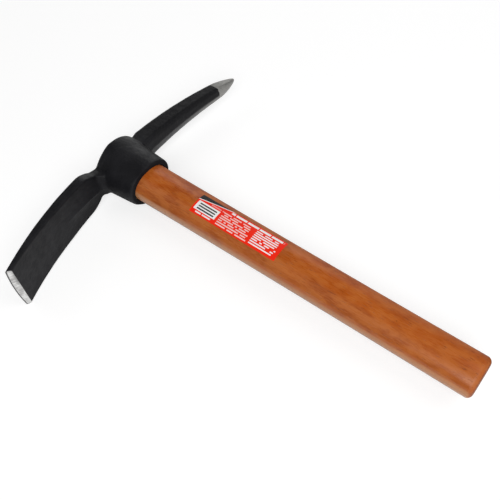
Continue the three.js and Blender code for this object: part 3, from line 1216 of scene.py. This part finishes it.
@dataclass(frozen=True)
class BlackPaint:
    """Satin black paint over forging scale, dipped short of the pick's point, which is bare, with a painted
    reflection along the pick's belly.
    """

    colour: Colour = (0.0066, 0.0066, 0.0082)
    faded: Colour = (0.0112, 0.0112, 0.0134)
    fresh: Colour = (0.0042, 0.0042, 0.0054)
    # Colour of the painted reflection: a lighter strip along the pick's belly, in place of the floor's
    # reflection.
    painted_reflection: Colour = (0.055, 0.055, 0.058)
    bare: Colour = (0.385, 0.38, 0.365)
    bare_shade: float = 0.72
    patches: Grain = Grain(0.018, low=0.35)
    fresh_reach: Ramp = (0.02, 0.05)
    border: float = 0.1195
    border_softness: float = 0.0001
    border_waves: Grain = Grain(0.004)
    wobble: float = 0.0012
    belly_start: float = 0.05
    belly_depth: float = 0.0019
    belly_side: float = 0.0034
    belly_gloss: float = 0.33
    # Shares along the pick over which the painted reflection strip turns to bare steel.
    bare_reflection: Ramp = (0.3, 0.9, 0, 0.8)
    sheen: Grain = Grain(0.006, start=0.48, end=0.58)
    rim_band: float = 0.0007
    rim_dulling: float = 0.45
    scratches: Grain = Grain(0.0004, (12, 1, 1), turn=0.35)
    scratch_tones: Ramp = (0.35, 0.65)
    scratch_roughness: Ramp = (0.3, 0.7, 0.56, 0.7)
    forging: Grain = Grain(0.0035, detail=4)
    forging_depth: float = 0.00035
    peel: Grain = Grain(0.0007, detail=2)
    peel_depth: float = 0.00005
    coat: float = 0.0001

    def belly_reflection_masks(self, recipe: Recipe, origin: Vector) -> tuple[Value, Value]:
        """Returns where a painted reflection lies along the pick's belly, on the side that the tool lies on.

        Args:
            recipe: The paint.
            origin: Where the tool's own axes start.

        Returns:
            The mask of the strip painted lighter in place of the floor's reflection, and of the part of it
            painted as bare steel, which grows towards the point.
        """
        spike = Spike()
        start, slope, bend = spike.belly()
        x, y, z = recipe.parts(origin)
        share = (y - spike.root_reach) / (spike.reach - spike.root_reach)
        depth = x - share * (share * bend + slope) - start
        low = depth.ramp(-self.belly_depth, -self.belly_depth / 2)
        # Painted reflection: the lower side of the belly is painted lighter.
        painted_reflection = low * z.ramp(-self.belly_side, 0, 1, 0) * (share > self.belly_start)
        return painted_reflection, painted_reflection * share.ramp(*self.bare_reflection)

    def make(self, origin: Vector) -> bpy.types.Material:
        """Makes the material.

        Args:
            origin: Where the tool's own axes start in the frame.

        Returns:
            The material.
        """
        recipe = Recipe("satin_black_paint", Specular_IOR_Level=0.2)
        x, y, _ = recipe.parts(origin)
        belly, bare_reflection = self.belly_reflection_masks(recipe, origin)
        reach = y + (recipe.noise(self.border_waves) - 0.5) * (self.wobble * 2) - self.border
        dipped = reach.ramp(-self.border_softness, self.border_softness)
        # The bare mask joins the real bare point with the painted reflection strip.
        bare = dipped.math("MAXIMUM", bare_reflection)
        paint = recipe.layered(
            self.colour,
            (recipe.pattern(self.patches), self.faded),
            (y.ramp(*self.fresh_reach), self.fresh),
            # Painted reflection along the belly.
            (belly, self.painted_reflection),
        )
        scratches = recipe.noise(self.scratches)
        grey = shaded(self.bare, self.bare_shade)
        steel = recipe.blend(scratches.ramp(*self.scratch_tones), grey, self.bare)
        rim = x.ramp(EyeSizes.height - self.rim_band, EyeSizes.height, 0, self.rim_dulling)
        satin = recipe.pattern(self.sheen) - belly * self.belly_gloss + rim
        ground = scratches.ramp(*self.scratch_roughness)
        forged = recipe.bump(recipe.noise(self.forging), self.forging_depth)
        peel = recipe.bump(recipe.noise(self.peel), self.peel_depth, forged)
        return recipe.finish(
            Base_Color=recipe.blend(bare, paint, steel),
            Metallic=bare,
            Roughness=bare * (ground - satin) + satin,
            Normal=recipe.bump(dipped, self.coat, peel),
        )


@dataclass(frozen=True)
class GroundSteel:
    """Steel fresh from the grinding wheel, with fine lines across the edge, and a painted shade on its +Z half
    beside the paint.
    """

    name: str = "ground_steel"
    bright: Colour = (0.76, 0.76, 0.75)
    dull: Colour = (0.42, 0.415, 0.41)
    burr: Colour = (0.1, 0.1, 0.1)
    lines: Grain = Grain(0.0006, (25, 25, 1))
    lines_share: float = 0.55
    line_depth: float = 0.00004
    clouds: Grain = Grain(0.006)
    tones: Ramp = (0.38, 0.62)
    roughness: Ramp = (0.3, 0.7, 0.28, 0.42)
    burr_from: float = 0.00042
    burr_to: float = 0.00098
    # Painted shade: where, and how dark, the bevel's +Z half is painted beside the paint.
    shade_from: float = 0.7
    shade_to: float = 1.3
    shaded_half: Ramp = (-0.3, 0.5, 0, 0.75)
    shade_share: float = 0.5

    def make(self, origin: Vector) -> bpy.types.Material:
        """Makes the material.

        Args:
            origin: Where the tool's own axes start in the frame.

        Returns:
            The material.
        """
        recipe = Recipe(self.name, Metallic=1.0)
        blade = Blade()
        _, y, z = recipe.parts(origin)
        lines = recipe.noise(self.lines)
        tone = lines * self.lines_share + recipe.noise(self.clouds) * (1 - self.lines_share)
        aside = z / (blade.edge_width / 2)
        depth = y - aside * aside * blade.bow + (blade.reach + blade.bow)
        # Painted shade on the bevel's +Z half beside the paint.
        shade_band = depth.ramp(blade.ground_length * self.shade_from, blade.ground_length * self.shade_to)
        steel = recipe.layered(
            self.dull,
            (tone.ramp(*self.tones), self.bright),
            (shade_band * aside.ramp(*self.shaded_half), shaded(self.dull, self.shade_share)),
        )
        return recipe.finish(
            Base_Color=recipe.blend(depth.ramp(self.burr_from, self.burr_to), self.burr, steel),
            Roughness=lines.ramp(*self.roughness),
            Normal=recipe.bump(lines, self.line_depth),
        )


CUT_STEEL = GroundSteel("cut_edge_steel", bright=(0.2, 0.2, 0.2), dull=(0.09, 0.09, 0.09))


@dataclass(frozen=True)
class StainedWood:
    """Straight-grained wood, stained orange-brown under a clear lacquer, darker on its end grain, with a
    painted reflection along its edges and a painted sheen on its adze side.
    """

    dark: Colour = (0.345, 0.064, 0.006)
    warm: Colour = (0.455, 0.096, 0.01)
    pale: Colour = (0.54, 0.15, 0.027)
    fleck: Colour = (0.14, 0.024, 0.004)
    # Colour of the painted reflection and sheen on the handle's edges and adze side.
    painted_reflection: Colour = (0.75, 0.38, 0.18)
    ring_pitch: float = 0.0032
    ring_sway: float = 0.016
    ring_share: float = 0.18
    pith: tuple[float, float] = (0.012, -0.05)
    sway: Grain = Grain(0.03, (7, 1, 1), 2)
    clouds: Grain = Grain(0.014, (2.6, 1, 1), low=0.38, high=0.62)
    blotches: Grain = Grain(0.0055, (2.4, 1, 1), 4, low=0.4, high=0.6, end=0.65)
    streaks: Grain = Grain(0.0011, (6, 1, 1), 4)
    streak_tones: Ramp = (0.45, 0.75, 0, 0.4)
    streak_roughness: Ramp = (0.3, 0.7, 0.25, 0.35)
    streak_depth: float = 0.00006
    pores: Grain = Grain(0.0007, (12, 1, 1), 1, low=0.68, high=0.74)
    pore_share: float = 0.55
    spots: Grain = Grain(0.0021, (3, 1, 1), 2, low=0.68, high=0.78, end=0.5)
    butt_paling: Ramp = (0.15, 0.33, 0, 0.1)
    half_width: tuple[float, float] = (0.0181, 0.0166)
    # Painted reflection: both long edges are painted paler, in place of the floor's reflection at grazing
    # angles.
    edge_reflection: Ramp = (0.92, 1.0, 0, 0.6)
    # Painted sheen: the side towards the adze's edge is painted paler.
    side_sheen: Ramp = (-0.01, -0.004, 0.09, 0)
    worn_side: Ramp = (-0.0168, -0.012, -0.16, 0)
    dull_side: Ramp = (0.003, 0.012, 0, 0.32)
    end_share: float = 0.45
    tenon_end: float = 0.0006
    butt_end: float = 0.0012
    butt_rounding: tuple[float, float] = (0.005, 0.002)
    butt_roughness: float = 0.3

    def make(self, origin: Vector) -> bpy.types.Material:
        """Makes the material.

        Args:
            origin: Where the tool's own axes start in the frame.

        Returns:
            The material.
        """
        recipe = Recipe("stained_lacquered_wood", Specular_IOR_Level=0.33)
        x, y, z = recipe.parts(origin)
        side, drop = ((part + (start - pith)) ** 2 for part, start, pith in zip((y, z), origin.yz, self.pith))
        radius = (side + drop).math("SQRT") + recipe.noise(self.sway) * self.ring_sway
        late = (radius / self.ring_pitch).math("FRACT") ** 3
        streaks, pores = recipe.noise(self.streaks), recipe.pattern(self.pores)
        start, end = self.half_width
        half = (x - EyeSizes.height) / Handle.reach * (end - start) + start
        # Mask of the painted reflection along both long edges.
        edges = (y.math("ABSOLUTE") / half).ramp(*self.edge_reflection)
        top, butt = EyeSizes.tenon_recess, EyeSizes.height + Handle.reach
        ends = x.ramp(top, top + self.tenon_end, self.end_share, 0)
        ends += x.ramp(butt - self.butt_end, butt, 0, self.end_share)
        tone = recipe.layered(
            self.dark,
            (recipe.pattern(self.clouds), self.warm),
            (recipe.pattern(self.blotches), self.pale),
            (streaks.ramp(*self.streak_tones), self.pale),
            (late * self.ring_share, self.dark),
            (x.ramp(*self.butt_paling), self.pale),
            (pores * self.pore_share, self.fleck),
            (recipe.pattern(self.spots), self.fleck),
            # Painted reflection and painted sheen.
            (y.ramp(*self.side_sheen).math("MAXIMUM", edges), self.painted_reflection),
            (ends, self.fleck),
        )
        start, end = (butt - place for place in self.butt_rounding)
        rough = streaks.ramp(*self.streak_roughness) + y.ramp(*self.worn_side) + y.ramp(*self.dull_side)
        return recipe.finish(
            Base_Color=tone,
            Roughness=rough + x.ramp(start, end, 0, self.butt_roughness),
            Normal=recipe.bump(pores, -self.streak_depth, recipe.bump(streaks, self.streak_depth)),
        )


@dataclass(frozen=True)
class PlainFinish:
    """A finish of one grain, which mixes two colours, changes the roughness and stands out a little."""

    name: str
    metallic: float
    first: Colour
    second: Colour
    grain: Grain
    tones: Ramp
    roughness: Ramp
    depth: float

    def make(self) -> bpy.types.Material:
        """Makes the material.

        Returns:
            The material.
        """
        recipe = Recipe(self.name, Metallic=self.metallic)
        grain = recipe.noise(self.grain)
        return recipe.finish(
            Base_Color=recipe.blend(grain.ramp(*self.tones), self.first, self.second),
            Roughness=grain.ramp(*self.roughness),
            Normal=recipe.bump(grain, self.depth),
        )


PALE_WOOD = PlainFinish(
    name="pale_wedge_wood",
    metallic=0.0,
    first=(0.33, 0.18, 0.075),
    second=(0.52, 0.33, 0.16),
    grain=Grain(0.0005, (8, 1, 1), 4),
    tones=(0.35, 0.7),
    roughness=(0.3, 0.7, 0.6, 0.8),
    depth=0.0001,
)
DULL_STEEL = PlainFinish(
    name="dull_wedge_steel",
    metallic=1.0,
    first=(0.4, 0.395, 0.385),
    second=(0.22, 0.2, 0.18),
    grain=Grain(0.0025, detail=5),
    tones=(0.4, 0.65),
    roughness=(0.3, 0.7, 0.38, 0.55),
    depth=0.00006,
)


@dataclass(frozen=True)
class Block:
    """A rectangle on the sticker, in shares of its length and width, and the lines printed in it.

    A line ends up to the ragged share earlier. Cells are the dashes to the sticker's length, of which some
    are left out, or 0 for whole lines.
    """

    left: float
    right: float
    bottom: float
    top: float
    count: int = 1
    ragged: float = 0.0
    cells: float = 0.0


@dataclass(frozen=True)
class PrintedSticker:
    """A red sticker with a plain design: a dark corner, a white panel with bars, and rows of pale lines."""

    red: Colour = (0.98, 0.022, 0.004)
    white: Colour = (0.95, 0.93, 0.92)
    pale: Colour = (0.95, 0.66, 0.62)
    faint: Colour = (0.95, 0.35, 0.33)
    ink: Colour = (0.014, 0.016, 0.017)
    corner_slope: float = 0.78
    corner_start: float = 0.72
    corner_rim: float = 0.035
    title: Block = Block(0.37, 0.975, 0.835, 0.945)
    words: float = 7.3
    word_gap: float = 0.1
    text: Block = Block(0.305, 0.66, 0.07, 0.79, 7, 0.06, 43)
    side_text: Block = Block(0.69, 0.965, 0.1, 0.82, 7, 0.04, 37)
    footer: Block = Block(0.06, 0.24, 0.07, 0.19, cells=71)
    header: Block = Block(0.14, 0.3, 0.7, 0.82, cells=67)
    panel: Block = Block(0.02, 0.275, 0.18, 0.64)
    bars: Block = Block(0.05, 0.25, 0.24, 0.62, 3)
    line_share: float = 0.5
    dash_gap: float = 0.13
    scatter: tuple[float, float] = (12.9, 43.7)
    row_seed: float = 31

    def make(self, start: Vector, end: Vector) -> bpy.types.Material:
        """Makes the material.

        Args:
            start: Corner of the sticker nearest the head, on its lower side.
            end: Corner nearest the butt, on its upper side.

        Returns:
            The material, whose print runs from corner to corner.
        """
        recipe = Recipe("printed_sticker", Roughness=0.55, Specular_IOR_Level=0.2)
        x, y, _ = recipe.parts(start)
        along, across = x / (end.x - start.x), y / (end.y - start.y)

        def inside(block: Block, right: Value | float) -> Value:
            """Returns 1 in a block, up to a place on its right."""
            return (along > block.left) * (along < right) * ((across > block.bottom) * (across < block.top))

        def scattered(seed: Value) -> Value:
            """Returns a number from 0 to 1 that looks random, from a whole number."""
            turn, spread_out = self.scatter
            return ((seed * turn).math("SINE") * spread_out).math("FRACT")

        def lines(block: Block) -> Value:
            """Prints evenly spaced lines of uneven length.

            Args:
                block: Where they are, and how many.

            Returns:
                1 on the lines.
            """
            scaled = (across - block.bottom) / ((block.top - block.bottom) / block.count)
            number = scaled.math("FLOOR")
            row = inside(block, scattered(number) * -block.ragged + block.right)
            if block.cells:
                cell = (along * block.cells).math("FLOOR") + number * self.row_seed
                row *= scattered(cell) > self.dash_gap
            return row * (scaled.math("FRACT") < self.line_share)

        slant = along * self.corner_slope + self.corner_start
        words = (along * self.words).math("FRACT") > self.word_gap
        tone = recipe.layered(
            self.red,
            (across > slant - self.corner_rim, self.white),
            (across > slant, self.ink),
            (inside(self.title, self.title.right) * words, self.white),
            (lines(self.text), self.pale),
            (lines(self.side_text), self.white),
            (lines(self.footer), self.white),
            (lines(self.header), self.faint),
            (inside(self.panel, self.panel.right), self.white),
            (lines(self.bars), self.ink),
        )
        return recipe.finish(Base_Color=tone)


@dataclass
class Studio:
    """The white table, the soft lamps and the photograph's camera."""

    origin: Vector
    floor_size: float = 12.0
    floor_cells: int = 8
    floor_glow: float = 0.68
    floor_tone: float = 0.42
    floor_roughness: float = 0.9
    shade_reach: float = 0.05
    shade_ramp: Ramp = (0.3, 0.75)
    world_level: float = 0.52
    aim: tuple[float, float, float] = (0.1493, 0.0, 0.0)
    azimuth: float = 43.83
    elevation: float = 54.44
    roll: float = -7.21
    distance: float = 0.54298
    lens: float = 48.352
    shift: tuple[float, float] = (0.01286, -0.024)
    lamps: tuple[tuple[float, float, float, float, float], ...] = (
        (47, 43, 1.5, 1.1, 15.0),
        (120, 50, 1.6, 1.2, 6.5),
        (-151, 19, 1.6, 1.3, 8.5),
        (-75, 40, 1.6, 1.0, 2.2),
        (-22, 12, 1.6, 1.6, 0.5),
    )

    def direction(self, azimuth: float, elevation: float) -> Vector:
        """Returns the unit vector from the tool towards a place on the sky, in degrees."""
        a, e = math.radians(azimuth), math.radians(elevation)
        return Vector((math.sin(a) * math.cos(e), -math.cos(a) * math.cos(e), math.sin(e)))

    def add_floor(self) -> None:
        """Adds a pale floor that looks white and keeps a soft shadow."""
        cells = self.floor_cells
        bpy.ops.mesh.primitive_grid_add(x_subdivisions=cells, y_subdivisions=cells, size=self.floor_size)
        floor = bpy.context.active_object
        floor.name = "table"
        tone, glow = (self.floor_tone,) * 3, (1.0, 1.0, 1.0)
        recipe = Recipe("white_table", Roughness=self.floor_roughness, Base_Color=tone, Emission_Color=glow)
        kinds = ("Camera", "Glossy", "Transmission")
        direct, mirrored, passed = (recipe.node("LightPath", {}, f"Is {kind} Ray") for kind in kinds)
        open_sky = recipe.node("AmbientOcclusion", {"Distance": self.shade_reach}, "AO")
        seen = direct.math("ADD", (mirrored + passed) * open_sky.ramp(*self.shade_ramp), clamp=True)
        floor.data.materials.append(recipe.finish(Emission_Strength=seen * self.floor_glow))

    def light(self) -> None:
        """Adds the world and the lamps."""
        world = bpy.data.worlds.new("studio")
        world.use_nodes = True
        background = world.node_tree.nodes["Background"]
        background.inputs["Strength"].default_value = self.world_level
        bpy.context.scene.world = world
        for azimuth, elevation, distance, size, power in self.lamps:
            towards = self.direction(azimuth, elevation)
            bpy.ops.object.light_add(type="AREA", location=self.origin + towards * distance)
            lamp = bpy.context.active_object
            lamp.data.shape, lamp.data.size, lamp.data.energy = "DISK", size, power
            lamp.rotation_euler = towards.to_track_quat("Z", "Y").to_euler()

    def add_camera(self) -> None:
        """Adds the camera, where the photograph's was."""
        bpy.ops.object.camera_add()
        camera = bpy.context.active_object
        camera.data.lens = self.lens
        camera.data.clip_start = self.distance / 20
        camera.data.shift_x, camera.data.shift_y = self.shift
        back = self.direction(self.azimuth, self.elevation)
        level = Vector((0, 0, 1)).cross(back).normalized()
        turn = Matrix.Rotation(math.radians(self.roll), 3, back)
        right = turn @ level
        axes = Matrix((right, back.cross(right), back)).transposed()
        place = self.origin + Vector(self.aim) + back * self.distance
        camera.matrix_world = Matrix.Translation(place) @ axes.to_4x4()
        bpy.context.scene.camera = camera

    def build(self) -> None:
        """Builds the stage and sets how colours are shown."""
        self.add_camera()
        self.add_floor()
        self.light()
        bpy.context.scene.view_settings.view_transform = "Standard"


def tool_origin() -> Vector:
    """Finds where the tool's own axes start, from the wooden wedge's box.

    Returns:
        The eye's top on the eye's axis, in the frame.
    """
    low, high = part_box("wood_wedge")
    middle = (low + high) / 2
    return Vector((low.x - EyeSizes().tenon_recess, middle.y, middle.z))


def main() -> None:
    """Builds the mattock and its stage."""
    logging.basicConfig(level=logging.INFO)
    origin = tool_origin()
    Studio(origin).build()
    eye = EyeSizes()
    steels = (GroundSteel().make(origin), CUT_STEEL.make(origin))
    ForgedHead(eye, BlackPaint().make(origin), *steels).build(origin)
    handle = Handle(eye, StainedWood().make(origin), PALE_WOOD.make(), DULL_STEEL.make())
    handle.build(origin)
    Sticker(handle, PrintedSticker()).build(origin)


if __name__ == "__main__":
    main()
